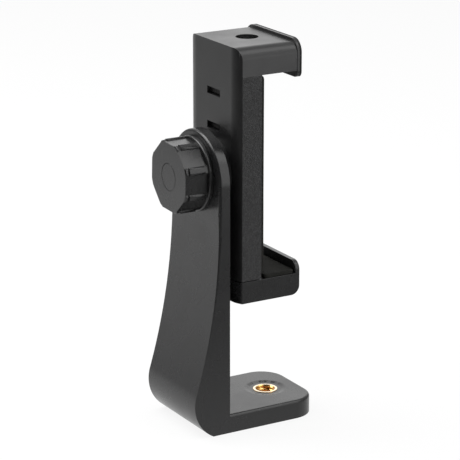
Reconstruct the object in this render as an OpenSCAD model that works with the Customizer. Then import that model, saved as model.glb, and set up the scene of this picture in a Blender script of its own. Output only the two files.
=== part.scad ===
// Phone clamp on a tripod bracket, in millimetres, with +Z up.
// The origin is where the axis of the tripod thread meets the bottom face of the foot.
// X runs across the bracket, and +Y points from the arm towards the phone.

/* [Bracket] */
// Width of the arm and the foot
bracket_w = 30.6; // [29:0.2:36]
// Thickness of the arm behind the pivot
arm_t = 3.7; // [3.2:0.1:5]
// Distance from the tripod thread's axis back to the arm's inner face
arm_reach = 22.2; // [18:0.2:30]
// Height of the pivot axis above the foot's bottom face
pivot_z = 82.3; // [81:0.5:95]
// Height of the arm's round end above the pivot axis
arm_top = 13.9; // [13:0.1:16]
// Radius of the heel between the arm and the foot
heel_r = 12.4; // [11.6:0.1:13.4]
// Height of the heel's centre above the foot's bottom face
heel_z = 11; // [10:0.2:11.4]
// How far the heel stands out behind the arm's inner face
heel_out = 12.7; // [12:0.1:15]
// Radius of the rounded edges on the arm's back
arm_edge_r = 0.9; // [0.5:0.1:1.4]
// Thickness of the foot
foot_t = 6.05; // [5:0.05:7]
// Distance from the tripod thread's axis forward to the foot's edge
foot_front = 11.2; // [10:0.2:16]
// Radius of the foot's front corners
foot_corner_r = 8.5; // [6:0.5:10]
// Radius of the rounded edge around the foot's top face
foot_edge_r = 1; // [0.5:0.1:1.5]
// Wall around the hollows inside the lower arm
hollow_wall = 2.4; // [2:0.1:2.8]
// Height of the highest hollow's top above the foot's bottom face
hollow_top = 50; // [40:1:56]
// Thickness of the ribs between the hollows
hollow_rib = 1.6; // [1.2:0.1:2.4]

/* [Tripod insert] */
// Outside diameter of the brass insert
insert_d = 8; // [7.4:0.1:9]
// Diameter of the hole in the insert, before its thread
tripod_hole_d = 5.2; // [5:0.05:5.5]
// Depth of the countersink at the insert's upper end
insert_chamfer = 0.6; // [0.3:0.1:0.9]
// Diameter of the shallow dish around the insert
dish_d = 13.5; // [11:0.5:16]
// Depth of the shallow dish
dish_depth = 0.35; // [0.2:0.05:0.6]

/* [Knob] */
// Diameter of the knob's base disc
knob_base_d = 24; // [22.4:0.2:26]
// Thickness of the knob's base disc
knob_base_t = 1.5; // [1:0.1:2]
// Distance from the knob's base to its face
knob_h = 9.3; // [8.4:0.1:12]
// Distance across the flats of the knob's grip
knob_across = 21.4; // [20:0.2:22]
// Number of grip ribs around the knob
knob_ribs = 8; // [6:1:10]
// Width of a grip rib
knob_rib_w = 2.6; // [1.8:0.1:3]
// How far a grip rib stands inside the base disc's edge
knob_rib_in = 0.15; // [0:0.05:0.4]
// Angle of the first grip rib
knob_phase = 20; // [0:1:60]
// Diameter of the cap in the knob's face
cap_d = 8.8; // [8:0.1:10]
// Thickness of the cap
cap_t = 1; // [0.8:0.1:1.4]

/* [Pivot] */
// Diameter of the pivot bolt
bolt_d = 6; // [5:0.1:6.6]
// Distance across the flats of the bolt's head
bolt_head_across = 10; // [9:0.1:10.4]
// Thickness of the bolt's head
bolt_head_t = 3.2; // [2.4:0.1:3.8]
// Gap between the arm and the clamp
arm_gap = 3; // [2.6:0.1:4]
// Diameter of the friction ring and of the boss it sits on
ring_d = 22; // [16:0.5:24]
// Thickness of the friction ring
ring_t = 1.2; // [0.8:0.1:1.6]
// Diameter of the washer under the knob
washer_d = 14; // [11:0.5:16]
// Thickness of the washer
washer_t = 1; // [0.6:0.1:1.4]
// Outside diameter of the knob's brass insert
knob_insert_d = 8.4; // [7.8:0.1:8.6]

/* [Clamp] */
// Width of the clamp
clamp_w = 30.6; // [29:0.2:34]
// Depth of the clamp from its rear face to the front of its lips
clamp_d = 22.4; // [20:0.2:30]
// Depth of the body from its rear face to the front of its side walls
body_d = 8.3; // [8:0.1:11]
// Height of the body between the two jaws
body_h = 65.5; // [64:0.5:80]
// Height of the pivot axis above the seam between the body and the lower jaw
pivot_up = 33.1; // [31:0.5:36]
// Height of the upper jaw
upper_h = 8.8; // [8.6:0.1:11]
// Height of the lower jaw
lower_h = 7; // [6.6:0.1:9]
// Wall of the body and of the jaws
wall_t = 1.8; // [1.5:0.1:2.1]
// Radius of the rounded rear edges
rear_r = 9; // [5:0.5:12]
// Depth at which the rounded rear edges meet the side faces
rear_crease = 1.4; // [0.8:0.1:2]
// Radius of the upper jaw's long top edges
top_r = 3.6; // [2:0.1:4.4]
// Radius of the upper jaw's rear top edge
rear_top_r = 1.8; // [0.5:0.1:2.4]
// Width of the slots in the rear wall
slot_w = 7.9; // [6:0.1:9]
// Height of the slots in the rear wall
slot_h = 2.3; // [2:0.1:3]
// Heights of the slots' centres above the pivot axis
slot_up = [14.2, 25.2];

/* [Lips] */
// Thickness of the lips
lip_t = 1.5; // [1.3:0.1:2.4]
// How far the upper lip hangs below the upper jaw
upper_lip = 2.3; // [2:0.1:5]
// How far the lower lip stands above the lower jaw
lower_lip = 3.9; // [2.4:0.1:5]
// How far the upper lip's rim stands out over the top and the sides
lip_rim = 0.9; // [0.4:0.1:1.2]
// Radius of the upper lip's lower corners
upper_lip_r = 1; // [0.5:0.1:2]
// Radius of the lower lip's corners
lower_lip_r = 3; // [1:0.1:4]
// Radius of the lower jaw's front edge
lower_front_r = 3; // [1:0.1:4]

/* [Spring slide] */
// Travel of the lower jaw
jaw_travel = 30; // [20:1:32]
// Diameter of the guide rods
rod_d = 3; // [2.4:0.1:3]
// Distance from the clamp's side to a guide rod's axis
rod_in = 5.5; // [5.2:0.1:6.2]
// Height of the guide blocks that the rods run in
guide_h = 6; // [4:0.5:8]
// Wall between a cover screw and the opening between the guide blocks
guide_wall = 1.1; // [0.8:0.1:1.5]
// Number of turns of a spring
spring_turns = 16; // [12:1:17]
// Wire of a spring
spring_wire = 0.6; // [0.4:0.05:0.65]
// Length of a spring when the clamp is open as far as it goes
spring_least = 17; // [15:0.5:20]
// Diameter of the rod screws' heads
rod_screw_head_d = 4.4; // [4:0.1:5]
// Thickness of the rod screws' heads
rod_screw_head_t = 1.3; // [1:0.1:1.6]
// Diameter of the rod screws
rod_screw_d = 2; // [1.6:0.1:2]
// Thickness of the stop rings
clip_t = 0.8; // [0.6:0.1:1]
// Outside diameter of the stop rings
clip_d = 4.9; // [4.4:0.1:5]

/* [Cover and pads] */
// Thickness of the cover plate
cover_t = 1.4; // [1.2:0.1:1.6]
// Diameter of the cover screws
cover_screw_d = 2; // [1.6:0.1:2.4]
// Distance from the clamp's side to a cover screw's axis
cover_screw_in = 10; // [9.4:0.1:11]
// Thickness of the foam pads
pad_t = 1.2; // [0.8:0.1:1.6]
// Thickness of the lower jaw's pad
lower_pad_t = 1.4; // [1:0.1:1.8]
// Distance from the clamp's side to a pad's edge
pad_inset = 0.3; // [0.2:0.1:1.2]

/* [Top thread] */
// Distance from the clamp's rear face to the axis of the top hole
top_hole_in = 12; // [11.6:0.1:12.6]
// Diameter of the hole in the top of the upper jaw
top_hole_d = 7.2; // [6.6:0.1:8]
// Distance across the flats of the captive nut
nut_across = 11.1; // [10:0.1:11.5]
// Height of the captive nut
nut_h = 4; // [3.5:0.1:4.8]
// Thickness of the plate under the captive nut
nut_plate_t = 1; // [0.8:0.1:1.2]

/* [Clearances] */
// Gap between faces that turn or slide past each other
face_gap = 0.1; // [0.05:0.05:0.2]
// Radial clearance of pins and rods that turn or slide
run_gap = 0.05; // [0.03:0.01:0.08]
// Radial clearance of inserts, screws and rods that stay put
set_gap = 0.02; // [0.01:0.01:0.04]
// Gap around plates and pads
plate_gap = 0.3; // [0.2:0.05:0.4]
// Gap between the body and the lower jaw when the clamp is closed
seam_gap = 0.3; // [0.2:0.05:0.5]

/* [Hidden] */

$fn = 64;
// Facets of the large arc on the arm's back
long_arc_fn = 720;
// Facets of bores and pins
bore_fn = 48;
// How far cutting shapes run past what they cut
past = 1;

plastic = "#2c2d2e";
foam = "#1c1c1a";
rubber = "#181818";
steel = "#b9bcc0";
brass = "#c9a14a";
nylon = "#e8e6de";

// Bracket outline
arm_in_y = -arm_reach;
arm_back_y = arm_in_y - arm_t;
arm_end_r = bracket_w / 2;
arm_end_z = pivot_z + arm_top - arm_end_r;
heel_y = arm_in_y - heel_out + heel_r;
// The arm's back is flat behind the knob and starts to curve out just below it
flare_z = pivot_z - knob_base_d / 2 - plate_gap;
flare_drop = flare_z - heel_z;
flare_in = heel_y - arm_back_y;
// Radius of the hollow back, which meets the flat back and the round heel without a corner
flare_r = (pow(flare_in, 2) + pow(flare_drop, 2) - pow(heel_r, 2)) / (2 * (heel_r - flare_in));
flare_cy = arm_back_y - flare_r;
flare_angle = asin(flare_drop / (flare_r + heel_r));
// The rounded edges of the hollow back run out towards the heel
edge_fade = arm_edge_r / sin(flare_angle);
// They cut this much deeper than the straight edges above them
edge_bite = 0.01;
hollow_floor = foot_t + hollow_wall;
hollow_rows = 4;
hollow_w = (bracket_w - 2 * hollow_wall - hollow_rib) / 2;
hollow_row_h = (hollow_top - hollow_floor - (hollow_rows - 1) * hollow_rib) / hollow_rows;

// Tripod insert
insert_h = foot_t - dish_depth / 2;
insert_chamfer_w = 0.65;

// Knob, drawn with its axis along Z and its face up
knob_y = arm_back_y - face_gap;
knob_rib_r = knob_base_d / 2 - knob_rib_in;
knob_rim_t = 0.9;
knob_notch = 0.5;
knob_corner_r = knob_across / 2 + 0.6;
knob_wall = 1.5;
knob_hub_d = knob_insert_d + 2 * 1.4;
knob_rib_end = 0.8;
cap_stem_d = 5;
cap_stem_h = 1;
washer_pocket_h = washer_t;

// Clamp outline
rear_y = arm_in_y + arm_gap;
body_front_y = rear_y + body_d;
clamp_front_y = rear_y + clamp_d;
lip_in_y = clamp_front_y - lip_t;
seam_z = pivot_z - pivot_up;
body_z = seam_z + seam_gap;
upper_z = seam_z + body_h;
top_z = upper_z + upper_h;
lower_z = seam_z - lower_h;
crease_angle = asin(1 - rear_crease / rear_r);
rear_flat = clamp_w / 2 - rear_r * cos(crease_angle);
channel_y = rear_y + wall_t;
channel_w = clamp_w - 2 * wall_t;
cover_in_y = body_front_y - cover_t;
channel_d = cover_in_y - channel_y;
guide_top = body_z + guide_h;
cover_screw_x = clamp_w / 2 - cover_screw_in;
guide_in_x = cover_screw_x - cover_screw_d / 2 - guide_wall;
boss_h = arm_gap - ring_t - face_gap;

// Pivot bolt
head_gap = 0.15;
head_rib_t = 1;
bolt_end_y = knob_y - knob_h + cap_t + cap_stem_h + plate_gap;
bolt_thread_d = bolt_d - 1.1;
knob_insert_h = 6;

// Spring slide
rod_x = clamp_w / 2 - rod_in;
rod_y = channel_y + channel_d / 2;
rod_foot_z = lower_z + rod_screw_head_t + 1.6;
spring_gap = 0.3;
spring_in_gap = 0.2;
clip_z = guide_top + jaw_travel + spring_least + 2 * spring_gap;
rod_top_z = clip_z + 2 * clip_t;
clip_groove_d = rod_d - 0.6;
clip_open = 1.9;
spring_low = guide_top + spring_gap;
spring_high = clip_z - spring_gap;
spring_r = rod_d / 2 + spring_in_gap + spring_wire / 2;
spring_sides = 6;
spring_steps = 14;

// Cover, screws and tongues
tongue_w = slot_w - 2 * plate_gap;
tongue_t = slot_h - 2 * plate_gap;
tongue_short = 1.2;
cover_screw_z = body_z + guide_h / 2;
cover_screw_len = 4;
cover_head_d = 1.8 * cover_screw_d;
cover_head_t = 0.8;

// Jaws and pads
pad_w = clamp_w - 2 * pad_inset;
back_pad_y = body_front_y + pad_t;
jaw_pad_y = back_pad_y + plate_gap;
jaw_pad_d = lip_in_y - plate_gap - jaw_pad_y;
upper_pad_rise = pad_t - 0.2;
// The back pad ends short of the pads on both jaws
back_pad_z = seam_z + lower_pad_t + plate_gap;
back_pad_top_z = upper_z + upper_pad_rise - pad_t - plate_gap;
top_hole_y = rear_y + top_hole_in;
nut_z = upper_z + upper_pad_rise + nut_plate_t;
nut_plate_w = nut_across + 3;
nut_gap = 0.1;
jaw_cell_y = jaw_pad_y + 0.6;
jaw_cell_d = lip_in_y - wall_t - jaw_cell_y;
cell_rib = 1.4;

// Cylinder along Y between two places
module along_y(y0, y1, d) {
    translate([0, y0, 0]) rotate([-90, 0, 0]) cylinder(h = y1 - y0, d = d);
}

// Flat shape drawn in X and Z, given a depth from y0 to y1
module front_shape(y0, y1) {
    translate([0, y1, 0]) rotate([90, 0, 0]) linear_extrude(y1 - y0) children();
}

// Flat shape drawn in Y and Z, given a width centred on the middle plane
module side_shape(w) {
    rotate([90, 0, 90]) linear_extrude(w, center = true) children();
}

// Mirrored pair, left and right
module both_sides() {
    for (side = [0, 1]) mirror([side, 0, 0]) children();
}

// Waste outside a rounded edge, with the sharp corner at the origin and the solid in +X +Y
module edge_waste(r) {
    difference() {
        translate([-past, -past]) square(r + past);
        translate([r, r]) circle(r);
    }
}

// Rectangle w by h standing on the X axis, with one radius below and one above
module rounded_rect(w, h, r_low, r_high) {
    translate([-w / 2, r_low]) square([w, h - r_low - r_high]);
    if (r_low > 0) translate([-w / 2 + r_low, 0]) square([w - 2 * r_low, r_low]);
    if (r_high > 0) translate([-w / 2 + r_high, h - r_high]) square([w - 2 * r_high, r_high]);
    for (side = [-1, 1]) {
        if (r_low > 0) translate([side * (w / 2 - r_low), r_low]) circle(r_low);
        if (r_high > 0) translate([side * (w / 2 - r_high), h - r_high]) circle(r_high);
    }
}

// Side outline of the arm and the heel, drawn in Y and Z and drawn in by an inset
module arm_side(inset) {
    tangent_y = heel_y - (heel_r - inset) * cos(flare_angle);
    tangent_z = heel_z + (heel_r - inset) * sin(flare_angle);
    difference() {
        union() {
            translate([heel_y, heel_z]) circle(heel_r - inset);
            polygon([[arm_in_y + past, -past], [heel_y, -past], [heel_y, heel_z],
                     [tangent_y, tangent_z], [arm_back_y + inset, flare_z],
                     [arm_back_y + inset, pivot_z + arm_top + past],
                     [arm_in_y + past, pivot_z + arm_top + past]]);
        }
        intersection() {
            translate([flare_cy, flare_z]) circle(flare_r + inset, $fn = long_arc_fn);
            translate([flare_cy, tangent_z]) square([flare_r + arm_t, flare_z - tangent_z]);
        }
    }
}

// Front outline of the arm, with its round end
module arm_front() {
    translate([0, arm_end_z]) circle(arm_end_r);
    translate([-bracket_w / 2, 0]) square([bracket_w, arm_end_z]);
}

// Waste outside the rounded edges on the arm's back
module arm_edges() {
    both_sides() {
        translate([0, 0, flare_z + edge_fade])
            linear_extrude(arm_end_z - flare_z - edge_fade)
                translate([bracket_w / 2, arm_back_y]) mirror([1, 0]) edge_waste(arm_edge_r);
        translate([0, flare_cy, flare_z + edge_fade]) rotate([90, 0, 90])
            rotate([0, 0, -flare_angle - 1]) rotate_extrude(angle = flare_angle + 1, $fn = long_arc_fn)
                translate([flare_r + edge_bite, bracket_w / 2 - edge_bite])
                    mirror([0, 1]) edge_waste(arm_edge_r);
    }
    translate([0, 0, arm_end_z]) rotate([90, 0, 0]) rotate_extrude(angle = 180)
        translate([arm_end_r, -arm_back_y]) rotate(180) edge_waste(arm_edge_r);
}

// Outline of the foot from above
module foot_outline() {
    foot_l = foot_front - arm_in_y;
    translate([-bracket_w / 2, arm_in_y - past]) square([bracket_w, foot_l - foot_corner_r + past]);
    translate([-bracket_w / 2 + foot_corner_r, arm_in_y])
        square([bracket_w - 2 * foot_corner_r, foot_l]);
    for (side = [-1, 1])
        translate([side * (bracket_w / 2 - foot_corner_r), foot_front - foot_corner_r])
            circle(foot_corner_r);
}

// Waste outside the rounded edge around the foot's top face
module foot_edges() {
    corner_x = bracket_w / 2 - foot_corner_r;
    corner_y = foot_front - foot_corner_r;
    front_shape(arm_in_y, corner_y)
        for (side = [0, 1]) mirror([side, 0])
            translate([bracket_w / 2, foot_t]) rotate(180) edge_waste(foot_edge_r);
    both_sides()
        translate([corner_x, corner_y, 0]) rotate_extrude(angle = 90)
            translate([foot_corner_r, foot_t]) rotate(180) edge_waste(foot_edge_r);
    side_shape(2 * corner_x)
        translate([foot_front, foot_t]) rotate(180) edge_waste(foot_edge_r);
}

// Hollows on the inner face of the lower arm, in two columns with ribs between them
module arm_hollows() {
    for (side = [-1, 1])
        for (row = [0 : hollow_rows - 1])
            translate([side * (hollow_w + hollow_rib) / 2, 0, 0])
                side_shape(hollow_w) intersection() {
                    arm_side(hollow_wall);
                    translate([heel_y - heel_r, hollow_floor + row * (hollow_row_h + hollow_rib)])
                        square([heel_r + arm_reach, hollow_row_h]);
                }
}

module bracket() {
    color(plastic) difference() {
        union() {
            intersection() {
                side_shape(bracket_w) intersection() {
                    arm_side(0);
                    translate([heel_y - 2 * heel_r, 0])
                        square([arm_in_y - heel_y + 2 * heel_r, pivot_z + arm_top + past]);
                }
                front_shape(heel_y - 2 * heel_r, arm_in_y) arm_front();
            }
            linear_extrude(foot_t) foot_outline();
        }
        arm_edges();
        foot_edges();
        arm_hollows();
        translate([0, 0, pivot_z]) along_y(arm_back_y - past, arm_in_y + past, bolt_d + 2 * run_gap,
            $fn = bore_fn);
        translate([0, 0, -past]) cylinder(h = foot_t + 2 * past, d = insert_d + 2 * set_gap,
            $fn = bore_fn);
        translate([0, 0, foot_t - dish_depth])
            cylinder(h = dish_depth + past, d1 = dish_d - 3, d2 = dish_d - 3 + 3 * (dish_depth + past)
                / dish_depth);
    }
}

module tripod_insert() {
    color(brass) difference() {
        cylinder(h = insert_h, d = insert_d, $fn = bore_fn);
        translate([0, 0, -past]) cylinder(h = insert_h + 2 * past, d = tripod_hole_d, $fn = bore_fn);
        translate([0, 0, insert_h - insert_chamfer])
            cylinder(h = insert_chamfer, d1 = tripod_hole_d,
                d2 = tripod_hole_d + 2 * insert_chamfer_w, $fn = bore_fn);
    }
}

// Grip of the knob seen along its axis: flats between ribs, with the ribs out to a radius
module knob_outline(rib_r) {
    intersection() {
        circle(knob_corner_r);
        circle(knob_across / 2 / cos(180 / knob_ribs), $fn = knob_ribs);
    }
    for (i = [0 : knob_ribs - 1]) rotate(i * 360 / knob_ribs) {
        translate([knob_across / 4, -knob_rib_w / 2])
            square([rib_r - knob_rib_end - knob_across / 4, knob_rib_w]);
        translate([knob_across / 4, -knob_rib_w / 2 + knob_rib_end])
            square([rib_r - knob_across / 4, knob_rib_w - 2 * knob_rib_end]);
        for (side = [-1, 1])
            translate([rib_r - knob_rib_end, side * (knob_rib_w / 2 - knob_rib_end)])
                circle(knob_rib_end, $fn = 32);
    }
}

// Places a shape with its axis along Z on the pivot axis, with +Z pointing backwards
module on_pivot() {
    translate([0, knob_y, pivot_z]) rotate([90, 0, 0]) rotate(knob_phase) children();
}

module knob() {
    grip_top = knob_h - knob_rim_t;
    color(plastic) on_pivot() difference() {
        union() {
            cylinder(h = knob_base_t, d = knob_base_d);
            linear_extrude(knob_h) knob_outline(knob_corner_r);
            linear_extrude(grip_top - knob_notch) knob_outline(knob_rib_r);
            translate([0, 0, grip_top]) linear_extrude(knob_rim_t)
                knob_outline((knob_corner_r + knob_rib_r) / 2);
        }
        // Rounded edge of the face
        translate([0, 0, knob_h]) rotate_extrude()
            translate([knob_rib_r, 0]) rotate(180) edge_waste(knob_rim_t);
        // Rounded edge of the base disc
        rotate_extrude() translate([knob_base_d / 2, knob_base_t]) rotate(180)
            edge_waste(knob_base_t / 3);
        // Ring-shaped hollow around the hub, left open at the back
        translate([0, 0, -past]) difference() {
            cylinder(h = knob_h - knob_wall + past, d = knob_across - 2 * knob_wall);
            cylinder(h = knob_h, d = knob_hub_d);
            for (i = [0 : 3]) rotate(i * 90) translate([0, -hollow_rib / 2, 0])
                cube([knob_base_d / 2, hollow_rib, knob_h]);
        }
        translate([0, 0, -past]) cylinder(h = washer_pocket_h + past, d = washer_d + 2 * plate_gap);
        translate([0, 0, washer_t]) cylinder(h = knob_insert_h, d = knob_insert_d + 2 * set_gap,
            $fn = bore_fn);
        translate([0, 0, -past]) cylinder(h = knob_h, d = bolt_d + 4 * run_gap, $fn = bore_fn);
        translate([0, 0, knob_h - cap_t]) cylinder(h = cap_t + past, d = cap_d + 2 * set_gap);
        translate([0, 0, knob_h - cap_t - cap_stem_h - set_gap])
            cylinder(h = cap_stem_h + past, d = cap_stem_d + 2 * set_gap);
    }
}

module knob_insert() {
    color(brass) on_pivot() translate([0, 0, washer_t]) difference() {
        cylinder(h = knob_insert_h, d = knob_insert_d, $fn = bore_fn);
        translate([0, 0, -past])
            cylinder(h = knob_insert_h + 2 * past, d = bolt_thread_d + 2 * run_gap, $fn = bore_fn);
    }
}

module knob_cap() {
    color(plastic) on_pivot() {
        translate([0, 0, knob_h - cap_t - cap_stem_h]) cylinder(h = cap_stem_h + cap_t / 2, d = cap_stem_d);
        difference() {
            translate([0, 0, knob_h - cap_t]) cylinder(h = cap_t, d = cap_d);
            translate([0, 0, knob_h]) rotate_extrude()
                translate([cap_d / 2, 0]) rotate(180) edge_waste(cap_t / 3);
        }
    }
}

module knob_washer() {
    color(nylon) on_pivot() difference() {
        cylinder(h = washer_t - set_gap, d = washer_d);
        translate([0, 0, -past]) cylinder(h = washer_t + 2 * past, d = bolt_d + 2 * run_gap,
            $fn = bore_fn);
    }
}

module pivot_bolt() {
    color(steel) translate([0, 0, pivot_z]) {
        translate([0, channel_y, 0]) rotate([-90, 0, 0]) rotate(30)
            cylinder(h = bolt_head_t, d = bolt_head_across / cos(30), $fn = 6);
        along_y(arm_back_y - washer_t, channel_y + past, bolt_d, $fn = bore_fn);
        along_y(bolt_end_y, arm_back_y, bolt_thread_d, $fn = bore_fn);
    }
}

module friction_ring() {
    color(rubber) translate([0, 0, pivot_z]) difference() {
        along_y(arm_in_y + face_gap, rear_y - boss_h, ring_d);
        along_y(arm_in_y - past, rear_y, bolt_d + 2);
    }
}

// Outline of the clamp from above, with its rear edges rounded up to a crease
module clamp_section() {
    intersection() {
        translate([-clamp_w / 2, rear_y]) square([clamp_w, clamp_d]);
        union() {
            translate([-rear_flat, rear_y]) square([2 * rear_flat, rear_r]);
            translate([-clamp_w / 2, rear_y + rear_crease]) square([clamp_w, clamp_d]);
            for (side = [-1, 1])
                translate([side * rear_flat, rear_y + rear_r]) circle(rear_r);
        }
    }
}

// Places children on both guide rods' axes
module at_rods() {
    for (side = [-1, 1]) translate([side * rod_x, rod_y, 0]) children();
}

module clamp_body() {
    cell_x = nut_plate_w / 2 + cell_rib;
    color(plastic) difference() {
        union() {
            difference() {
                intersection() {
                    translate([0, 0, body_z]) linear_extrude(top_z - body_z) clamp_section();
                    front_shape(rear_y, clamp_front_y)
                        translate([0, body_z]) rounded_rect(clamp_w, top_z - body_z, 0, top_r);
                }
                side_shape(clamp_w + 2 * past)
                    translate([rear_y, top_z]) mirror([0, 1]) edge_waste(rear_top_r);
                // Space for the phone, between the upper jaw and the lower one
                translate([-clamp_w / 2 - past, body_front_y, body_z - past])
                    cube([clamp_w + 2 * past, clamp_d, upper_z - body_z + past]);
            }
            // Upper lip with its rim
            front_shape(lip_in_y, clamp_front_y) translate([0, upper_z - upper_lip])
                rounded_rect(clamp_w + 2 * lip_rim, upper_h + upper_lip + lip_rim, upper_lip_r,
                    top_r + lip_rim);
            // Boss that the friction ring sits on
            translate([0, 0, pivot_z]) along_y(rear_y - boss_h, rear_y + past, ring_d);
        }
        // Channel for the rods and springs
        translate([-channel_w / 2, channel_y, guide_top])
            cube([channel_w, channel_d, upper_z - guide_top]);
        // Opening between the two guide blocks
        translate([-guide_in_x, channel_y, body_z - past])
            cube([2 * guide_in_x, channel_d + past, guide_h + 2 * past]);
        // Opening for the cover plate
        translate([-channel_w / 2, cover_in_y, body_z - past])
            cube([channel_w, cover_t + past, upper_z - body_z + past]);
        // Slots in the rear wall
        for (up = slot_up) translate([0, 0, pivot_z + up])
            front_shape(rear_y - past, channel_y + past)
                translate([-slot_w / 2, -slot_h / 2]) square([slot_w, slot_h]);
        translate([0, 0, pivot_z]) along_y(rear_y - boss_h - past, channel_y + past,
            bolt_d + 2 * set_gap, $fn = bore_fn);
        at_rods() translate([0, 0, body_z - past])
            cylinder(h = guide_h + 2 * past, d = rod_d + 2 * run_gap, $fn = bore_fn);
        // Pilot holes for the cover screws
        for (side = [-1, 1]) translate([side * cover_screw_x, 0, cover_screw_z])
            along_y(cover_in_y - cover_screw_len, cover_in_y + past, cover_screw_d + 2 * set_gap,
                $fn = bore_fn);
        // Seat of the upper pad
        translate([-channel_w / 2, body_front_y, upper_z - past])
            cube([channel_w, lip_in_y - body_front_y, upper_pad_rise + past]);
        // Captive nut, its plate and the hole above it
        translate([0, top_hole_y, nut_z - past])
            cylinder(h = nut_h + past, d = (nut_across + 2 * nut_gap) / cos(30), $fn = 6);
        translate([-nut_plate_w / 2, top_hole_y - nut_plate_w / 2, upper_z])
            cube([nut_plate_w, nut_plate_w, nut_z - upper_z]);
        translate([0, top_hole_y, upper_z])
            cylinder(h = upper_h + past, d = top_hole_d, $fn = bore_fn);
        // Hollows beside the nut
        both_sides() translate([cell_x, channel_y, upper_z - past])
            cube([channel_w / 2 - cell_x, jaw_cell_y + jaw_cell_d - channel_y,
                  upper_h - wall_t + past]);
    }
    // Ribs that keep the bolt's head from turning
    color(plastic) both_sides()
        translate([bolt_head_across / 2 + head_gap, channel_y - wall_t / 2,
                   pivot_z - bolt_head_across / 2])
            cube([head_rib_t, bolt_head_t + wall_t / 2, bolt_head_across]);
}

module cover_plate() {
    color(plastic) difference() {
        union() {
            translate([-channel_w / 2 + plate_gap, cover_in_y, body_z])
                cube([channel_w - 2 * plate_gap, cover_t, upper_z - body_z - plate_gap]);
            // Tongues that reach into the slots
            for (up = slot_up)
                translate([-tongue_w / 2, rear_y + tongue_short, pivot_z + up - tongue_t / 2])
                    cube([tongue_w, cover_in_y - rear_y, tongue_t]);
        }
        for (side = [-1, 1]) translate([side * cover_screw_x, 0, cover_screw_z]) {
            along_y(cover_in_y - past, body_front_y + past, cover_screw_d + 2 * set_gap,
                $fn = bore_fn);
            along_y(body_front_y - cover_head_t, body_front_y + past, cover_head_d + 2 * nut_gap);
        }
    }
}

module cover_screws() {
    color(steel) for (side = [-1, 1])
        translate([side * cover_screw_x, 0, cover_screw_z]) {
            along_y(cover_in_y - cover_screw_len + plate_gap, body_front_y - cover_head_t / 2,
                cover_screw_d, $fn = bore_fn);
            along_y(body_front_y - cover_head_t, body_front_y - set_gap, cover_head_d);
        }
}

module lower_jaw() {
    jaw_h = lower_h + lower_lip;
    cell_w = (channel_w - 2 * cell_rib) / 3;
    color(plastic) difference() {
        intersection() {
            union() {
                translate([0, 0, lower_z]) linear_extrude(lower_h) clamp_section();
                front_shape(lip_in_y, clamp_front_y) translate([0, lower_z])
                    rounded_rect(clamp_w, jaw_h, 0, lower_lip_r);
            }
            side_shape(clamp_w + 2 * past) {
                translate([rear_y, lower_z]) square([clamp_d - lower_front_r, jaw_h]);
                translate([rear_y, lower_z + lower_front_r])
                    square([clamp_d, jaw_h - lower_front_r]);
                translate([clamp_front_y - lower_front_r, lower_z + lower_front_r])
                    circle(lower_front_r);
            }
        }
        at_rods() {
            translate([0, 0, rod_foot_z])
                cylinder(h = lower_h + past, d = rod_d + 2 * set_gap, $fn = bore_fn);
            translate([0, 0, lower_z - past])
                cylinder(h = lower_h, d = rod_screw_d + 2 * nut_gap, $fn = bore_fn);
            translate([0, 0, lower_z - past])
                cylinder(h = rod_screw_head_t + past, d = rod_screw_head_d + 2 * nut_gap);
        }
        // Hollows under the lower pad
        for (i = [-1 : 1])
            translate([i * (cell_w + cell_rib) - cell_w / 2, jaw_cell_y, lower_z + wall_t])
                cube([cell_w, jaw_cell_d, lower_h]);
    }
}

module guide_rod() {
    color(steel) difference() {
        translate([0, 0, rod_foot_z]) cylinder(h = rod_top_z - rod_foot_z, d = rod_d, $fn = bore_fn);
        translate([0, 0, rod_foot_z - past])
            cylinder(h = lower_h + past, d = rod_screw_d + 2 * set_gap, $fn = bore_fn);
        // Groove of the stop ring
        translate([0, 0, clip_z]) difference() {
            cylinder(h = clip_t, d = rod_d + past);
            translate([0, 0, -past]) cylinder(h = clip_t + 2 * past, d = clip_groove_d, $fn = bore_fn);
        }
    }
}

module guide_rod_left() {
    translate([-rod_x, rod_y, 0]) guide_rod();
}

module guide_rod_right() {
    translate([rod_x, rod_y, 0]) guide_rod();
}

module rod_screws() {
    color(steel) at_rods() {
        translate([0, 0, lower_z + set_gap]) cylinder(h = rod_screw_head_t - set_gap, d = rod_screw_head_d);
        translate([0, 0, lower_z + rod_screw_head_t / 2])
            cylinder(h = lower_h - rod_screw_head_t, d = rod_screw_d, $fn = bore_fn);
    }
}

module rod_clips() {
    color(steel) at_rods() translate([0, 0, clip_z + set_gap]) difference() {
        cylinder(h = clip_t - 2 * set_gap, d = clip_d);
        translate([0, 0, -past])
            cylinder(h = clip_t + 2 * past, d = clip_groove_d + 2 * set_gap, $fn = bore_fn);
        translate([-clip_open / 2, 0, -past]) cube([clip_open, clip_d, clip_t + 2 * past]);
    }
}

// Height of the spring's wire after a number of turns, with one closed turn at each end
function spring_rise(turn) =
    let (closed = spring_wire * 1.05,
         low = spring_low + spring_wire / 2,
         high = spring_high - spring_wire / 2,
         pitch = (high - low - 2 * closed) / (spring_turns - 2))
    turn < 1 ? low + closed * turn
    : turn > spring_turns - 1 ? high - closed * (spring_turns - turn)
    : low + closed + pitch * (turn - 1);

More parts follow.
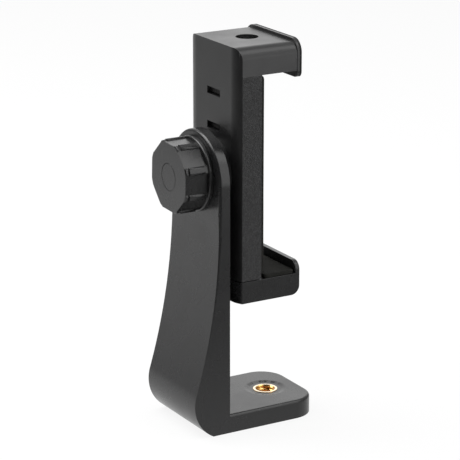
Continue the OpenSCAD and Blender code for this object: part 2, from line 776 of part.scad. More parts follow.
module spring() {
    rings = spring_turns * spring_steps;
    points = [for (i = [0 : rings]) for (j = [0 : spring_sides - 1])
        let (a = 360 * i / spring_steps, b = 360 * j / spring_sides,
             r = spring_r + spring_wire / 2 * cos(b))
        [r * cos(a), r * sin(a), spring_rise(i / spring_steps) + spring_wire / 2 * sin(b)]];
    sides = [for (i = [0 : rings - 1]) for (j = [0 : spring_sides - 1])
        let (k = (j + 1) % spring_sides)
        [i * spring_sides + j, i * spring_sides + k,
         (i + 1) * spring_sides + k, (i + 1) * spring_sides + j]];
    first = [for (j = [spring_sides - 1 : -1 : 0]) j];
    last = [for (j = [0 : spring_sides - 1]) rings * spring_sides + j];
    color(steel) polyhedron(points, concat(sides, [first, last]), convexity = 20);
}

module spring_left() {
    translate([-rod_x, rod_y, 0]) spring();
}

module spring_right() {
    translate([rod_x, rod_y, 0]) spring();
}

module back_pad() {
    color(foam) translate([-pad_w / 2, body_front_y, back_pad_z])
        cube([pad_w, pad_t, back_pad_top_z - back_pad_z]);
}

module upper_pad() {
    color(foam) translate([-channel_w / 2 + plate_gap, jaw_pad_y, upper_z + upper_pad_rise - pad_t])
        cube([channel_w - 2 * plate_gap, jaw_pad_d, pad_t]);
}

module lower_pad() {
    color(foam) translate([-pad_w / 2, jaw_pad_y, seam_z])
        cube([pad_w, jaw_pad_d, lower_pad_t]);
}

module captive_nut() {
    color(steel) translate([0, top_hole_y, nut_z]) difference() {
        cylinder(h = nut_h, d = nut_across / cos(30), $fn = 6);
        translate([0, 0, -past]) cylinder(h = nut_h + 2 * past, d = tripod_hole_d, $fn = bore_fn);
    }
}

module nut_plate() {
    edge = plate_gap / 2;
    color(plastic) difference() {
        translate([-nut_plate_w / 2 + edge, top_hole_y - nut_plate_w / 2 + edge, nut_z - nut_plate_t])
            cube([nut_plate_w - 2 * edge, nut_plate_w - 2 * edge, nut_plate_t]);
        translate([0, top_hole_y, nut_z - nut_plate_t - past])
            cylinder(h = nut_plate_t + 2 * past, d = top_hole_d, $fn = bore_fn);
    }
}

bracket();
tripod_insert();
knob();
knob_insert();
knob_cap();
knob_washer();
pivot_bolt();
friction_ring();
clamp_body();
cover_plate();
cover_screws();
lower_jaw();
guide_rod_left();
guide_rod_right();
rod_screws();
rod_clips();
spring_left();
spring_right();
back_pad();
upper_pad();
lower_pad();
captive_nut();
nut_plate();
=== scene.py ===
"""Dressed phone clamp on a tripod bracket, on a plain pale floor in soft studio light."""

import math

import bmesh
import bpy
from mathutils import Matrix, Vector


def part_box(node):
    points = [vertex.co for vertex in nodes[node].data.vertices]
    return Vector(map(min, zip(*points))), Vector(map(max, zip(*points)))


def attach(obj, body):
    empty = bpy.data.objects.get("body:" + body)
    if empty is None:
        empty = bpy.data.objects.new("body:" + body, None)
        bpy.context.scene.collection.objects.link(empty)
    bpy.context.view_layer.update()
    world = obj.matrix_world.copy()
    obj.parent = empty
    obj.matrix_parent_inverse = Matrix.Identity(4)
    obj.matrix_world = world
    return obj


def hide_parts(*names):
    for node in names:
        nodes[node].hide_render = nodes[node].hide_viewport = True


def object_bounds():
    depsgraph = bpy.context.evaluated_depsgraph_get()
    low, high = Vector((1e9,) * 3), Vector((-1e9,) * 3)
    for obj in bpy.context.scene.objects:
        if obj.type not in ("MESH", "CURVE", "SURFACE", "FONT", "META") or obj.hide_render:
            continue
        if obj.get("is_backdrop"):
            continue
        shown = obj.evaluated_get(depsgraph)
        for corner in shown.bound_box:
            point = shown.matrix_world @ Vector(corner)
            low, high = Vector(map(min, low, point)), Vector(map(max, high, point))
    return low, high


MM = 0.001
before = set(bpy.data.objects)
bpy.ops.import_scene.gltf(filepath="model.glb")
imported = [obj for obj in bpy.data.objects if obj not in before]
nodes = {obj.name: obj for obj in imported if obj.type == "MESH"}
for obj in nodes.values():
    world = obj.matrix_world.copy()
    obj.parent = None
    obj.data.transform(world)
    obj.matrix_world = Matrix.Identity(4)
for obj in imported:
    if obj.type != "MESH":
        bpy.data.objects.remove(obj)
cad_low, cad_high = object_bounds()
scene = bpy.context.scene


# Materials


class Graph:
    """A material or world under construction: adds shader nodes and links them."""

    def __init__(self, owner):
        self.owner = owner
        owner.use_nodes = True
        self.tree = owner.node_tree
        self.coords = self.tree.nodes.new("ShaderNodeTexCoord")

    def add(self, kind, inputs=None, **settings):
        node = self.tree.nodes.new(kind)
        for key, value in settings.items():
            setattr(node, key, value)
        for key, value in (inputs or {}).items():
            self.put(node.inputs[key], value)
        return node

    def put(self, socket, value):
        if isinstance(value, bpy.types.NodeSocket):
            self.tree.links.new(value, socket)
        else:
            socket.default_value = value

    def place(self, stretch=(1, 1, 1)):
        """Object coordinates, scaled along each axis."""
        return self.add(
            "ShaderNodeMapping", {"Vector": self.coords.outputs["Object"], "Scale": stretch}
        ).outputs["Vector"]

    def noise(self, size_mm, detail=2.0, rough=0.5, stretch=(1, 1, 1)):
        """Noise whose features are about size_mm across."""
        return self.add(
            "ShaderNodeTexNoise",
            {
                "Vector": self.place(stretch),
                "Scale": 1 / (size_mm * MM),
                "Detail": detail,
                "Roughness": rough,
            },
        ).outputs["Fac"]

    def cells(self, size_mm):
        """Distance to the nearest of scattered points, about size_mm apart."""
        return self.add(
            "ShaderNodeTexVoronoi", {"Vector": self.place(), "Scale": 1 / (size_mm * MM)}
        ).outputs["Distance"]

    def axes(self, kind):
        """X, Y and Z of the Object coordinates or of the Normal."""
        return self.add("ShaderNodeSeparateXYZ", {"Vector": self.coords.outputs[kind]}).outputs

    def from_axis(self):
        """Distance from the vertical axis of the tripod thread, which is the origin's."""
        place = self.axes("Object")
        squares = [self.math("MULTIPLY", place[name], place[name]) for name in ("X", "Y")]
        return self.math("SQRT", self.math("ADD", *squares))

    def math(self, operation, a, b=0.0, clamp=False):
        return self.add(
            "ShaderNodeMath", {0: a, 1: b}, operation=operation, use_clamp=clamp
        ).outputs[0]

    def span(self, value, low, high, to_low=0.0, to_high=1.0):
        """value taken from low..high to to_low..to_high and held there."""
        return self.add(
            "ShaderNodeMapRange",
            {
                "Value": value,
                "From Min": low,
                "From Max": high,
                "To Min": to_low,
                "To Max": to_high,
            },
        ).outputs["Result"]

    def blend(self, factor, a, b):
        node = self.add("ShaderNodeMix", data_type="RGBA")
        self.put(node.inputs["Factor"], factor)
        self.put(node.inputs["A"], a)
        self.put(node.inputs["B"], b)
        return node.outputs["Result"]

    def bump(self, height, depth_mm, strength=1.0, under=None):
        inputs = {"Height": height, "Distance": depth_mm * MM, "Strength": strength}
        if under is not None:
            inputs["Normal"] = under
        return self.add("ShaderNodeBump", inputs).outputs["Normal"]

    def edges(self, radius_mm):
        """1 on edges and corners, 0 on open faces."""
        soft = self.add("ShaderNodeBevel", {"Radius": radius_mm * MM}, samples=4)
        true = self.add("ShaderNodeNewGeometry")
        dot = self.add(
            "ShaderNodeVectorMath",
            {0: soft.outputs["Normal"], 1: true.outputs["Normal"]},
            operation="DOT_PRODUCT",
        )
        return self.span(dot.outputs["Value"], 0.995, 0.9)

    def along(self, vector, direction):
        """How far a vector reaches in a direction."""
        return self.add(
            "ShaderNodeVectorMath", {0: vector, 1: direction}, operation="DOT_PRODUCT"
        ).outputs["Value"]

    def finish(self, **sockets):
        shader = self.tree.nodes["Principled BSDF"]
        for key, value in sockets.items():
            self.put(shader.inputs[key.replace("_", " ")], value)
        return self.owner


def material_graph(name):
    return Graph(bpy.data.materials.new(name))


def shade(color, factor):
    return (color[0] * factor, color[1] * factor, color[2] * factor, 1.0)


# Where the moulded plastic changes, and where painted shade begins on the lips, in metres in the
# shared frame
STRIP_LOW = 0.0490
STRIP_HIGH = 0.1148
STRIP_BLUR = 0.0002
LIP_PAINTED_SHADE_Y = 0.0024
DISH_INNER_R = 0.0052
DISH_OUTER_R = 0.0068


def moulded_plastic(name, color, roughness, wave_depth, strip=False, dish=False):
    """Satin black moulding: fine spark grain, slow unevenness and paler edges."""
    g = material_graph(name)
    grain = g.noise(0.14, detail=1.5, rough=0.6)
    cloud = g.noise(9, detail=2)
    waves = g.noise(14, detail=1, rough=0.4, stretch=(1, 1, 0.35))
    tone = g.math("ADD", g.math("MULTIPLY", grain, 0.35), g.math("MULTIPLY", cloud, 0.65))
    tint = g.blend(g.span(tone, 0.3, 0.7), shade(color, 0.88), shade(color, 1.14))
    wear = g.math("MULTIPLY", g.edges(0.3), g.span(cloud, 0.35, 0.65, 0.35, 0.9))
    tint = g.blend(g.math("MULTIPLY", wear, 0.5), tint, shade(color, 1.9))
    gloss = g.span(cloud, 0.3, 0.7, roughness - 0.035, roughness + 0.04)
    normal = g.bump(waves, wave_depth, 0.5)
    if strip:
        # The long sides of the body are spark-eroded, the rest is smoother
        place = g.axes("Object")
        side = g.span(g.math("ABSOLUTE", g.axes("Normal")["X"]), 0.9, 0.97)
        low = g.span(place["Z"], STRIP_LOW, STRIP_LOW + STRIP_BLUR)
        high = g.span(place["Z"], STRIP_HIGH, STRIP_HIGH - STRIP_BLUR)
        mask = g.math("MULTIPLY", side, g.math("MULTIPLY", low, high))
        coarse = g.noise(0.42, detail=2.5, rough=0.7)
        tint = g.blend(
            g.math("MULTIPLY", mask, g.span(coarse, 0.44, 0.62)), tint, shade(color, 3.2)
        )
        gloss = g.math("ADD", gloss, g.math("MULTIPLY", mask, 0.16))
        normal = g.bump(g.math("MULTIPLY", coarse, mask), 0.3, 1.0, normal)
        # The front of the lips is dull, with painted shade that makes it near black
        front = g.span(place["Y"], LIP_PAINTED_SHADE_Y, LIP_PAINTED_SHADE_Y + 0.1 * MM)
        tint = g.blend(front, tint, shade(color, 0.2))
        gloss = g.math("MAXIMUM", gloss, g.math("MULTIPLY", front, 0.8))
    if dish:
        # The plastic has sunk a little around the insert in the foot
        normal = g.bump(g.span(g.from_axis(), DISH_INNER_R, DISH_OUTER_R), 0.16, 1.0, normal)
    normal = g.bump(grain, 0.006, 1.0, normal)
    return g.finish(Base_Color=tint, Roughness=gloss, Normal=normal, IOR=1.5)


def foam_sheet():
    """Closed-cell foam: small pits with painted shade in them, a dusty olive black, no gloss."""
    g = material_graph("foam")
    pits = g.cells(0.34)
    fine = g.noise(0.16, detail=3, rough=0.7)
    patch = g.noise(5, detail=3)
    height = g.math("ADD", g.span(pits, 0.05, 0.5), g.math("MULTIPLY", fine, 0.6))
    # Darker down in the pits and lighter on their rims: painted shade
    tone = g.blend(g.span(height, 0.45, 1.3), (0.0035, 0.0035, 0.003, 1), (0.014, 0.014, 0.012, 1))
    tone = g.blend(g.math("MULTIPLY", patch, 0.3), tone, (0.012, 0.0115, 0.009, 1))
    normal = g.bump(height, 0.09, 0.9)
    return g.finish(
        Base_Color=tone, Roughness=g.span(patch, 0.3, 0.7, 0.88, 0.97), Normal=normal,
        Specular_IOR_Level=0.3,
    )


def moulded_rubber():
    g = material_graph("rubber")
    fine = g.noise(0.2, detail=3, rough=0.6)
    patch = g.noise(4, detail=2)
    tone = g.blend(g.span(patch, 0.3, 0.7), (0.018, 0.018, 0.018, 1), (0.034, 0.033, 0.032, 1))
    return g.finish(
        Base_Color=tone, Roughness=g.span(fine, 0.3, 0.7, 0.7, 0.85), Normal=g.bump(fine, 0.02)
    )


def drawn_steel():
    """Bright steel with fine marks along its length and a little dulling."""
    g = material_graph("steel")
    marks = g.noise(0.12, detail=3, rough=0.7, stretch=(1, 1, 0.04))
    patch = g.noise(3, detail=3)
    tone = g.blend(g.span(patch, 0.3, 0.7), (0.50, 0.51, 0.53, 1), (0.63, 0.64, 0.66, 1))
    return g.finish(
        Base_Color=tone,
        Metallic=1.0,
        Roughness=g.span(marks, 0.3, 0.7, 0.2, 0.36),
        Normal=g.bump(marks, 0.003),
    )


# Radians a metre of the rings on turned brass, which are about 0.12 mm apart
LATHE_RINGS = 52000.0


def turned_brass():
    """Brass with the lathe's rings, a darker tarnish in patches and a painted highlight that makes
    its upward faces paler.
    """
    g = material_graph("brass")
    rings = g.math("SINE", g.math("MULTIPLY", g.from_axis(), LATHE_RINGS))
    patch = g.noise(1.6, detail=3)
    tone = g.blend(g.span(patch, 0.35, 0.7), (0.86, 0.53, 0.19, 1), (0.70, 0.38, 0.11, 1))
    # Upward faces are paler: a painted highlight
    tone = g.blend(g.span(g.axes("Normal")["Z"], 0.9, 0.98), tone, (0.93, 0.80, 0.60, 1))
    return g.finish(
        Base_Color=tone,
        Metallic=1.0,
        Roughness=g.span(patch, 0.3, 0.7, 0.16, 0.28),
        Normal=g.bump(rings, 0.0015),
    )


def white_nylon():
    g = material_graph("nylon")
    patch = g.noise(2.5, detail=2)
    tone = g.blend(g.span(patch, 0.3, 0.7), (0.78, 0.77, 0.72, 1), (0.86, 0.85, 0.81, 1))
    return g.finish(
        Base_Color=tone, Roughness=g.span(patch, 0.3, 0.7, 0.42, 0.52),
        Normal=g.bump(g.noise(0.2), 0.006),
    )


BLACK = (0.0095, 0.0095, 0.0098)
satin = moulded_plastic("satin_plastic", BLACK, 0.27, wave_depth=0.012)
body_plastic = moulded_plastic("body_plastic", BLACK, 0.33, wave_depth=0.02, strip=True)
knob_plastic = moulded_plastic("knob_plastic", (0.009, 0.009, 0.0092), 0.25, wave_depth=0.01)
arm_plastic = moulded_plastic("arm_plastic", BLACK, 0.27, wave_depth=0.012, dish=True)
# Much darker than the other plastic: painted shade on the cover plate, which is only seen deep
# inside the slots
inner_plastic_painted_shade = moulded_plastic("inner_plastic_painted_shade", (0.003, 0.003, 0.003), 0.6, wave_depth=0.01)
foam = foam_sheet()
rubber = moulded_rubber()
steel = drawn_steel()
brass = turned_brass()
nylon = white_nylon()


# CAD nodes that keep their shape


def dress(piece, material, edge_mm):
    """Gives a solid its material, and a fine rounding on its edges unless edge_mm is 0."""
    if not piece.material_slots:
        piece.data.materials.append(material)
    for entry in piece.material_slots:
        entry.material = material
    piece.data.polygons.foreach_set("use_smooth", [True] * len(piece.data.polygons))
    weld = piece.modifiers.new("join", "WELD")
    weld.merge_threshold = 0.002 * MM
    if edge_mm > 0:
        flat = piece.modifiers.new("flats", "DECIMATE")
        flat.decimate_type = "DISSOLVE"
        flat.angle_limit = math.radians(0.6)
        bevel = piece.modifiers.new("edges", "BEVEL")
        bevel.width = edge_mm * MM
        bevel.segments = 3
        bevel.limit_method = "ANGLE"
        bevel.angle_limit = math.radians(32)
        bevel.use_clamp_overlap = True
        bevel.harden_normals = True
    normals = piece.modifiers.new("normals", "WEIGHTED_NORMAL")
    normals.mode = "FACE_AREA"
    normals.weight = 60
    normals.keep_sharp = True


for name, material, edge in [
    ("bracket", arm_plastic, 0.22),
    ("lower_jaw", satin, 0.2),
    ("knob", knob_plastic, 0.12),
    ("knob_cap", knob_plastic, 0.08),
    ("cover_plate", inner_plastic_painted_shade, 0.12),
    ("nut_plate", satin, 0.08),
    ("friction_ring", rubber, 0.1),
    ("knob_washer", nylon, 0.08),
    ("knob_insert", brass, 0.06),
    ("pivot_bolt", steel, 0.12),
    ("cover_screws", steel, 0.06),
    ("guide_rod_left", steel, 0.12),
    ("guide_rod_right", steel, 0.12),
    ("rod_clips", steel, 0.04),
    ("spring_left", steel, 0.0),
    ("spring_right", steel, 0.0),
]:
    dress(nodes[name], material, edge)


# New pieces


def new_piece(name, mesh, material, body, slot, *replaced):
    """Links a mesh as a piece that rides on a body and stands for CAD nodes."""
    mesh.materials.append(material)
    piece = bpy.data.objects.new(name, mesh)
    scene.collection.objects.link(piece)
    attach(piece, body)
    if replaced:
        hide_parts(*replaced)
    return piece


def ring_mesh(name, rings, closed=False):
    """Mesh from rings of points with equal counts, each ring joined to the next."""
    bm = bmesh.new()
    rows = [[bm.verts.new(point) for point in ring] for ring in rings]
    count = len(rows[0])
    pairs = list(zip(rows, rows[1:]))
    if closed:
        pairs.append((rows[-1], rows[0]))
    for low, high in pairs:
        for i in range(count):
            j = (i + 1) % count
            bm.faces.new((low[i], low[j], high[j], high[i]))
    if not closed:
        bm.faces.new(list(reversed(rows[0])))
        bm.faces.new(rows[-1])
    bmesh.ops.recalc_face_normals(bm, faces=bm.faces)
    mesh = bpy.data.meshes.new(name)
    bm.to_mesh(mesh)
    bm.free()
    mesh.polygons.foreach_set("use_smooth", [True] * len(mesh.polygons))
    mesh.set_sharp_from_angle(angle=math.radians(38))
    return mesh


def carve(name, solid, cutter_mesh, operation="DIFFERENCE"):
    """Mesh of a solid with a cutter's shape taken away, or with UNION added."""
    cutter = bpy.data.objects.new(name + "_cutter", cutter_mesh)
    for piece in (solid, cutter):
        scene.collection.objects.link(piece)
    cut = solid.modifiers.new("cut", "BOOLEAN")
    cut.object = cutter
    cut.operation = operation
    cut.solver = "EXACT"
    cut.use_self = True
    bpy.context.view_layer.update()
    graph = bpy.context.evaluated_depsgraph_get()
    mesh = bpy.data.meshes.new_from_object(solid.evaluated_get(graph))
    mesh.name = name
    bpy.data.objects.remove(solid)
    bpy.data.objects.remove(cutter)
    mesh.materials.clear()
    return mesh


def arched_outline(half_w, low, high, r_low, r_high, steps=10):
    """Points in X and Z of a rectangle, with one radius for its lower and one for its upper pair."""
    points = []
    for cx, cz, radius, start in [
        (half_w - r_high, high - r_high, r_high, 0),
        (-half_w + r_high, high - r_high, r_high, 90),
        (-half_w + r_low, low + r_low, r_low, 180),
        (half_w - r_low, low + r_low, r_low, 270),
    ]:
        for i in range(steps + 1):
            a = math.radians(start + 90 * i / steps)
            points.append((cx + radius * math.cos(a), cz + radius * math.sin(a)))
    return points


# Clamp body with the upper lip nearly flush at its sides and rounder at its lower corners, in
# millimetres. LIP_SIDE is taken off each side, and TRIM off its top and bottom.
LIP_T = 1.5
LIP_H = 12.0
LIP_SIDE = 0.75
LIP_LOW_R = 1.8
LIP_HIGH_R = 4.2
TRIM = 0.02
_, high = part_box("clamp_body")
half_w, front, top = (corner / MM for corner in high)
inner = arched_outline(half_w - LIP_SIDE, top - LIP_H + TRIM, top - TRIM, LIP_LOW_R, LIP_HIGH_R)
outer = arched_outline(half_w + 3, top - LIP_H - 1.5, top + 3, LIP_LOW_R, LIP_HIGH_R)
back_y, front_y = front - LIP_T - 0.1, front + 1
rings = [[(x * MM, y * MM, z * MM) for x, z in outline]
         for outline, y in [(inner, back_y), (inner, front_y), (outer, front_y), (outer, back_y)]]
copy = bpy.data.objects.new("clamp_shell", nodes["clamp_body"].data.copy())
trimmed = carve("clamp_shell", copy, ring_mesh("lip_cut", rings, closed=True))

# Its rear top edge is crisp, up to where the sides round over
CLAMP_D = 22.4
REAR_R = 9
REAR_FLAT = 10.48
TOP_R = 3.6
RIM = 0.9
EDGE_D = 2.5
EDGE_H = 4.2
HALF_STEPS = 60
half_w -= RIM
top -= RIM
rings = []
for i in range(-HALF_STEPS, HALF_STEPS + 1):
    x = half_w * i / HALF_STEPS
    past = max(0.0, abs(x) - REAR_FLAT)
    rear = front - CLAMP_D + REAR_R - math.sqrt(REAR_R ** 2 - past ** 2)
    round_in = max(0.0, abs(x) - (half_w - TOP_R))
    crest = top - TOP_R + math.sqrt(TOP_R ** 2 - round_in ** 2)
    section = [(rear, top - EDGE_H), (rear, crest), (rear + EDGE_D, crest),
               (rear + EDGE_D, top - EDGE_H)]
    rings.append([(x * MM, y * MM, z * MM) for y, z in section])
trimmed = carve("clamp_shell", bpy.data.objects.new("clamp_shell", trimmed),
                ring_mesh("rear_edge", rings), "UNION")
shell = new_piece("clamp_shell", trimmed, body_plastic, "clamp", "black_plastic", "clamp_body")
dress(shell, body_plastic, 0.2)

# Quarter-inch tripod thread, in millimetres
PITCH = 1.27
THREAD_IN = 2.6
THREAD_OUT = 3.175
THREAD_ENTRY = 0.62
ROWS_PER_TURN = 14
STEPS = 72


def threaded_rings(centre, low, high):
    """Rings of a threaded bore from high to low, opened out by a chamfer at both ends."""
    rows = int((high - low) / PITCH * ROWS_PER_TURN)
    rings = []
    for i in range(rows + 1):
        z = high - (high - low) * i / rows
        ring = []
        for j in range(STEPS):
            turn = (z / PITCH - j / STEPS) % 1.0
            # Flat crest, flat root and straight flanks
            tooth = min(1.0, max(0.0, abs(turn - 0.5) * 2.6 - 0.18))
            radius = THREAD_OUT - (THREAD_OUT - THREAD_IN) * tooth
            chamfer = THREAD_ENTRY - min(z - low, high - z)
            radius = max(radius, THREAD_IN + chamfer)
            angle = 2 * math.pi * j / STEPS
            ring.append((centre[0] + radius * MM * math.cos(angle),
                         centre[1] + radius * MM * math.sin(angle), z * MM))
        rings.append(ring)
    return rings


def outer_ring(centre, radius_at, z, count=STEPS):
    """Points around a vertical axis, with a radius that may depend on the angle."""
    ring = []
    for j in range(count):
        angle = 2 * math.pi * j / count
        radius = radius_at(angle) * MM
        ring.append((centre[0] + radius * math.cos(angle),
                     centre[1] + radius * math.sin(angle), z * MM))
    return ring


def round_out(radius):
    return lambda angle: radius


def hex_out(across, largest=math.inf):
    """Radius of a hexagon with corners on the X axis, cut to a circle."""
    def radius(angle):
        off = math.degrees(angle) % 60 - 30
        return min(across / 2 / math.cos(math.radians(off)), largest)
    return radius


# Brass insert in the foot
low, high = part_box("tripod_insert")
centre = ((low.x + high.x) / 2, (low.y + high.y) / 2)
insert_r = (high.x - low.x) / 2 / MM
insert_low, insert_high = low.z / MM, high.z / MM
rings = threaded_rings(centre, insert_low, insert_high)
for radius, z in [
    (insert_r - 0.15, insert_low),
    (insert_r, insert_low + 0.15),
    (insert_r, insert_high - 0.15),
    (insert_r - 0.04, insert_high - 0.04),
    (insert_r - 0.15, insert_high),
]:
    rings.append(outer_ring(centre, round_out(radius), z))
new_piece("insert_thread", ring_mesh("insert_thread", rings, closed=True), brass,
          "bracket_body", "brass", "tripod_insert")

# Hexagon nut under the hole in the top
low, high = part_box("captive_nut")
centre = ((low.x + high.x) / 2, (low.y + high.y) / 2)
across = (high.y - low.y) / MM
nut_low, nut_high = low.z / MM, high.z / MM
rings = threaded_rings(centre, nut_low, nut_high)
face = across / 2 * 0.97
for radius, z in [
    (hex_out(across, face), nut_low),
    (hex_out(across, across / 2 + 0.3), nut_low + 0.3),
    (hex_out(across), nut_low + 0.65),
    (hex_out(across), nut_high - 0.65),
    (hex_out(across, across / 2 + 0.3), nut_high - 0.3),
    (hex_out(across, face), nut_high),
]:
    rings.append(outer_ring(centre, radius, z))
new_piece("nut_thread", ring_mesh("nut_thread", rings, closed=True), steel, "clamp", "steel",
          "captive_nut")


def rounded_outline(half_w, half_l, radius, pull):
    """Points of a rounded rectangle whose sides pull in a little between the corners."""
    points = []
    # Steps in a corner and along a side
    corner = 6
    along = 10
    centres = [(half_w - radius, half_l - radius, 0), (-half_w + radius, half_l - radius, 90),
               (-half_w + radius, -half_l + radius, 180), (half_w - radius, -half_l + radius, 270)]
    for k, (cx, cy, start) in enumerate(centres):
        for i in range(corner + 1):
            a = math.radians(start + 90 * i / corner)
            points.append((cx + radius * math.cos(a), cy + radius * math.sin(a)))
        nx, ny, _ = centres[(k + 1) % 4]
        a = math.radians(start + 90)
        p0 = (cx + radius * math.cos(a), cy + radius * math.sin(a))
        p1 = (nx + radius * math.cos(a), ny + radius * math.sin(a))
        for i in range(1, along):
            t = i / along
            inward = pull * math.sin(math.pi * t)
            points.append((p0[0] + (p1[0] - p0[0]) * t - inward * math.cos(a),
                           p0[1] + (p1[1] - p0[1]) * t - inward * math.sin(a)))
    return points


def foam_pad(name, node, axis, sign, body):
    """A die-cut foam pad glued to one face: soft edges, a slight crown and pulled-in sides."""
    low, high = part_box(node)
    middle = (low + high) / 2
    size = high - low
    thick = size[axis] / MM
    others = [i for i in range(3) if i != axis]
    half_w, half_l = size[others[0]] / 2 / MM, size[others[1]] / 2 / MM
    rings = []
    # Inset from the outline and height above the glued face, in millimetres
    steps = [(0.03, 0.0), (0.0, 0.2), (0.0, thick - 0.42), (0.05, thick - 0.27),
             (0.17, thick - 0.15), (0.36, thick - 0.09), (0.9, thick - 0.06),
             (2.0, thick - 0.03), (3.4, thick)]
    for inset, height in steps:
        radius = max(1.1 - inset, 0.3)
        ring = []
        for u, v in rounded_outline(half_w - inset, half_l - inset, radius, 0.09):
            # Slow unevenness that foam keeps from cutting and glueing
            ripple = 0.012 * math.sin(1.3 * u + 0.4 * v) * math.sin(0.9 * v - 0.2 * u)
            rise = height - (0.02 + ripple if height > thick / 2 else 0)
            point = Vector(middle)
            point[others[0]] += u * MM
            point[others[1]] += v * MM
            point[axis] = (low if sign > 0 else high)[axis] + sign * rise * MM
            ring.append(point)
        rings.append(ring)
    pad = new_piece(name, ring_mesh(name, rings), foam, body, "foam", node)


foam_pad("foam_back", "back_pad", 1, 1, "clamp")
foam_pad("foam_upper", "upper_pad", 2, -1, "clamp")
foam_pad("foam_lower", "lower_pad", 2, 1, "sliding_jaw")


def recessed_screw(name, centre, low, high, head_h, head_d, shank_d):
    """Domed screw, head down, with a cross recess in the head."""
    profile = [(0.02, low), (head_d * 0.3, low + 0.03), (head_d * 0.43, low + 0.14),
               (head_d * 0.49, low + 0.34), (head_d / 2, low + 0.55), (head_d / 2, low + head_h),
               (shank_d / 2 + 0.1, low + head_h), (shank_d / 2, low + head_h + 0.15)]
    pitch = 0.4
    for i in range(int((high - pitch - low - head_h) / pitch)):
        z = low + head_h + 0.3 + i * pitch
        profile += [(shank_d / 2, z), (shank_d / 2 - 0.16, z + pitch / 2)]
    profile += [(shank_d / 2 - 0.1, high - 0.15), (shank_d / 2 - 0.4, high)]
    rings = [outer_ring(centre, round_out(radius), z, 40) for radius, z in profile]
    # Two slabs that narrow upwards make the cross
    bm = bmesh.new()
    for turn in (20, 110):
        spin = Matrix.Translation((centre[0], centre[1], low * MM)) @ Matrix.Rotation(
            math.radians(turn), 4, "Z")
        slab = bmesh.ops.create_cube(bm, size=1)["verts"]
        for v in slab:
            narrow = 0.55 if v.co.z > 0 else 1.0
            v.co = spin @ Vector((v.co.x * head_d * 0.56 * narrow * MM,
                                  v.co.y * head_d * 0.13 * MM, v.co.z * 1.7 * MM))
    recess = bpy.data.meshes.new(name + "_recess")
    bm.to_mesh(recess)
    bm.free()
    return carve(name, bpy.data.objects.new(name, ring_mesh(name, rings)), recess)


low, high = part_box("rod_screws")
head_d = 4.4
rod_x = high.x / MM - head_d / 2
for name, side in (("rod_screw_left", -1), ("rod_screw_right", 1)):
    mesh = recessed_screw(name, (side * rod_x * MM, (low.y + high.y) / 2), low.z / MM,
                          high.z / MM, 1.28, head_d, 2.0)
    new_piece(name, mesh, steel, "sliding_jaw", "steel", "rod_screws")


def witness_line(name, points, width, height, out):
    """Thin raised line that the joint of a mould leaves, along points on a face."""
    rings = []
    for x, y, z in points:
        ring = []
        for i in range(8):
            a = 2 * math.pi * i / 8
            across = width / 2 * math.cos(a)
            rise = height * math.sin(a)
            ring.append(((x + out * rise) * MM, (y + across) * MM, z * MM))
        rings.append(ring)
    return ring_mesh(name, rings)


# Mould joint where the foot starts, on both sides, in millimetres
LINE_Y = -22.2
LINE_Z = 0.15
LINE_L = 5.6
LINE_STEPS = 12
low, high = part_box("bracket")
for name, side in (("mould_line_left", -1), ("mould_line_right", 1)):
    x = side * high.x / MM
    heights = [LINE_L * i / LINE_STEPS for i in range(LINE_STEPS + 1)]
    run = [(x, LINE_Y + 0.03 * math.sin(z), LINE_Z + z) for z in heights]
    new_piece(name, witness_line(name, run, 0.14, 0.03, side), satin, "bracket_body",
              "black_plastic")


# Floor, light and camera

# The floor lies a hair under the foot, so that their faces don't coincide
FLOOR_HALF = 4
FLOOR_Z = cad_low.z - 0.05 * MM
floor_mesh = bpy.data.meshes.new("floor")
bm = bmesh.new()
for x, y in ((-1, -1), (1, -1), (1, 1), (-1, 1)):
    bm.verts.new((x * FLOOR_HALF, y * FLOOR_HALF, FLOOR_Z))
bm.faces.new(bm.verts)
bm.to_mesh(floor_mesh)
bm.free()
floor = bpy.data.objects.new("floor", floor_mesh)
scene.collection.objects.link(floor)
floor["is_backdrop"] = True

# Directions from the object: the camera's side stays dark, as behind the camera in a studio
DARK_SIDE = (0.5, -0.866, 0)
RIGHT_SIDE = (0.866, 0.5, 0)


def seen_by(g):
    """1 for camera rays, and 1 for rays that gloss or glass sends out."""
    rays = g.add("ShaderNodeLightPath")
    shiny = g.math("MAXIMUM", rays.outputs["Is Glossy Ray"], rays.outputs["Is Transmission Ray"])
    return rays.outputs["Is Camera Ray"], shiny


g = material_graph("floor")
camera_ray, shiny_ray = seen_by(g)
spot = g.coords.outputs["Object"]
right_way = g.along(spot, RIGHT_SIDE)
lit = g.math(
    "MULTIPLY",
    g.span(g.along(spot, DARK_SIDE), 0.02, 0.3, 1.0, 0.12),
    g.math("MULTIPLY", g.span(right_way, -0.4, -0.24, 0.7, 1.0),
           g.math("ADD", g.span(right_way, -0.02, 0.2, 1.0, 0.2),
                  g.span(right_way, 0.3, 0.42, 0.0, 1.9))),
)
strength = g.math("ADD", camera_ray, g.math("MULTIPLY", shiny_ray, lit))
glow = g.add("ShaderNodeEmission", {"Color": (1, 1, 1, 1), "Strength": strength})
matte = g.add("ShaderNodeBsdfDiffuse", {"Color": (0.8, 0.8, 0.8, 1)})
share = g.math("ADD", g.math("MULTIPLY", camera_ray, 0.88), shiny_ray)
both = g.add("ShaderNodeMixShader", {0: share, 1: matte.outputs[0], 2: glow.outputs[0]})
g.put(g.tree.nodes["Material Output"].inputs["Surface"], both.outputs[0])
floor_mesh.materials.append(g.owner)

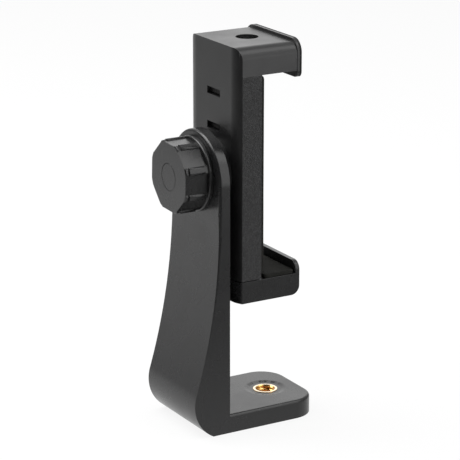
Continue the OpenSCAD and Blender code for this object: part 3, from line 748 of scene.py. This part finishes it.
scene.world = bpy.data.worlds.new("studio")
g = Graph(scene.world)
camera_ray, shiny_ray = seen_by(g)
toward = g.coords.outputs["Generated"]
wall = g.math(
    "MULTIPLY",
    g.span(g.along(toward, DARK_SIDE), -0.2, 0.6, 1.0, 0.1),
    g.span(g.along(toward, (0, 0, 1)), 0.0, 0.5, 0.3, 0.6),
)
back_glow = g.span(g.along(toward, (-0.83, 0.48, 0.29)), 0.88, 0.98, 0.0, 0.95)
strength = g.math("ADD", camera_ray, g.math("MULTIPLY", shiny_ray, g.math("ADD", wall, back_glow)))
fill = g.math("SUBTRACT", 1.0, g.math("ADD", camera_ray, shiny_ray), clamp=True)
strength = g.math("ADD", strength, g.math("MULTIPLY", fill, 0.32))
g.put(g.tree.nodes["Background"].inputs["Color"], (1, 1, 1, 1))
g.put(g.tree.nodes["Background"].inputs["Strength"], strength)


def softbox(name, place, width, height, power):
    """Area lamp that faces the middle of the object."""
    data = bpy.data.lights.new(name, "AREA")
    data.shape = "RECTANGLE"
    data.size = width
    data.size_y = height
    data.energy = power
    lamp = bpy.data.objects.new(name, data)
    lamp.location = place
    lamp.rotation_euler = (MIDDLE - Vector(place)).to_track_quat("-Z", "Y").to_euler()
    scene.collection.objects.link(lamp)


MIDDLE = Vector((0, -0.015, 0.06))
softbox("top_light", (-0.1, -0.15, 0.9), 0.7, 0.7, 7.0)
softbox("left_light", (-0.42, -0.46, 0.7), 0.5, 0.6, 4.0)
softbox("right_light", (0.75, 0.35, 0.3), 0.4, 0.5, 1.0)
softbox("roof_light", (0.36, 0.42, 0.72), 0.5, 0.5, 1.7)

# Camera fitted to the photograph
FRAME_PX = 460
FOCAL_PX = 2238
CAMERA_AT = (0.5844, -0.3555, 0.2681)
camera_data = bpy.data.cameras.new("camera")
camera_data.sensor_width = 36
camera_data.lens = FOCAL_PX / FRAME_PX * 36
camera_data.clip_start = 0.05
camera_data.clip_end = 20
camera = bpy.data.objects.new("camera", camera_data)
right = Vector((0.5053, 0.8629, 0)).normalized()
back = Vector((0.8255, -0.4834, 0.2914)).normalized()
up = back.cross(right)
turn = Matrix((right, up, back)).transposed()
camera.matrix_world = Matrix.Translation(CAMERA_AT) @ turn.to_4x4()
scene.collection.objects.link(camera)
scene.camera = camera

scene.view_settings.view_transform = "Standard"

low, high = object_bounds()
